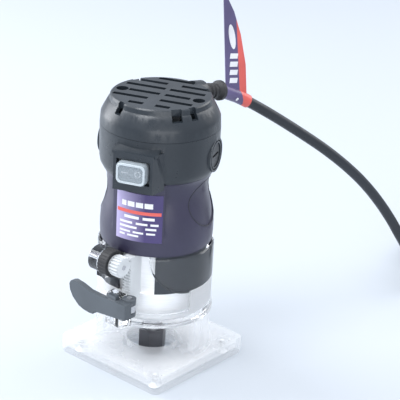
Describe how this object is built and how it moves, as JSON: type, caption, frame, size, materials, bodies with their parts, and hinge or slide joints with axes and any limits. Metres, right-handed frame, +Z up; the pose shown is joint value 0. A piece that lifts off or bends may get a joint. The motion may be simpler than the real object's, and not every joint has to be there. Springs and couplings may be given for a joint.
{
  "type": "laminate trimmer",
  "caption": "Corded palm laminate trimmer: round motor casing sliding in a clear square guide base with clamp lever, depth wheel and collet spindle.",
  "frame": {"origin": "centre of the round hole in the sole's underside, on the spindle's axis", "axes": "+Z up along the spindle towards the motor's cap, -Y towards the clamp lever and depth wheel, +X to the right seen from that side"},
  "size_m": [0.1469, 0.3672, 0.2367],
  "materials": {
    "aluminium": "cast and turned, bright",
    "black": "fine satin moulding",
    "black_steel": "black oxide",
    "boot": "clear flexible boot",
    "brass": "drawn",
    "carbon": "pressed carbon",
    "clear": "clear moulded acrylic, polished",
    "copper": "turned copper bars",
    "cord": "flexible sheath",
    "label": null,
    "laminate": "stacked sheets",
    "nylon": "natural moulding",
    "purple": "fine satin moulding, dark purple grey",
    "rocker": "gloss",
    "rubber": "moulded",
    "skirt": "satin moulding",
    "slate": "fine satin moulding, dark slate",
    "steel": "turned and plated",
    "tag": null,
    "winding": "enamelled wire"
  },
  "bodies": {
    "base": {"base_plate": "clear", "base_pillars": "clear", "base_sleeve": "clear", "sole_plate": "clear", "sole_screws": "steel", "clamp_bolt": "steel", "clamp_nut": "steel", "clamp_washer": "steel", "cord_coil": "cord", "coil_tie": "black", "plug_body": "rubber", "plug_pins": "brass"},
    "motor": {"depth_rack": "nylon", "nose_casing": "aluminium", "nose_skirt": "skirt", "motor_housing": "purple", "label_plate": "label", "switch_housing": "slate", "rear_cover": "slate", "cover_screws": "black_steel", "cord_gland": "rubber", "stator_core": "laminate", "field_coils": "winding", "lower_bearing": "steel", "upper_bearing": "steel", "bearing_retainer": "steel", "bearing_bridge": "black", "brush_holders": "brass", "carbon_brushes": "carbon", "brush_caps": "black", "brush_springs": "steel", "capacitor": "label", "cord_clamp": "nylon", "switch_body": "black", "switch_boot": "boot", "cord_lead": "cord", "cord_tag": "tag"},
    "spindle": {"armature_shaft": "steel", "rotor_core": "laminate", "rotor_windings": "winding", "commutator": "copper", "fan": "nylon", "collet": "steel", "collet_nut": "black_steel"},
    "rocker": {"rocker": "rocker"},
    "depth_wheel": {"wheel_hub": "aluminium", "wheel_tyre": "rubber", "pinion_shaft": "steel", "depth_pinion": "nylon"},
    "lever": {"clamp_lever": "black", "lever_pin": "steel"}
  },
  "joints": [
    {"name": "depth_slide", "type": "slide", "parent": "base", "child": "motor", "axis": [0, 0, 1], "range_m": [0, 0.025]},
    {"name": "spindle_spin", "type": "hinge", "parent": "motor", "child": "spindle", "pos_m": [0, 0, 0.1], "axis": [0, 0, 1], "continuous": true},
    {"name": "switch_rock", "type": "hinge", "parent": "motor", "child": "rocker", "pos_m": [0.01476, -0.03825, 0.1445], "axis": [0, 0, 1], "range_deg": [0, 14]},
    {"name": "wheel_turn", "type": "hinge", "parent": "base", "child": "depth_wheel", "pos_m": [0.0026, -0.0445, 0.0805], "axis": [1, 0, 0], "range_deg": [0, 226]},
    {"name": "lever_swing", "type": "hinge", "parent": "base", "child": "lever", "pos_m": [0.018, -0.043, 0.054], "axis": [0, 0, 1], "range_deg": [0, 105]}
  ],
  "couplings": [
    {"joint": "wheel_turn", "follows": "depth_slide", "rad_per_m": 157.08}
  ]
}
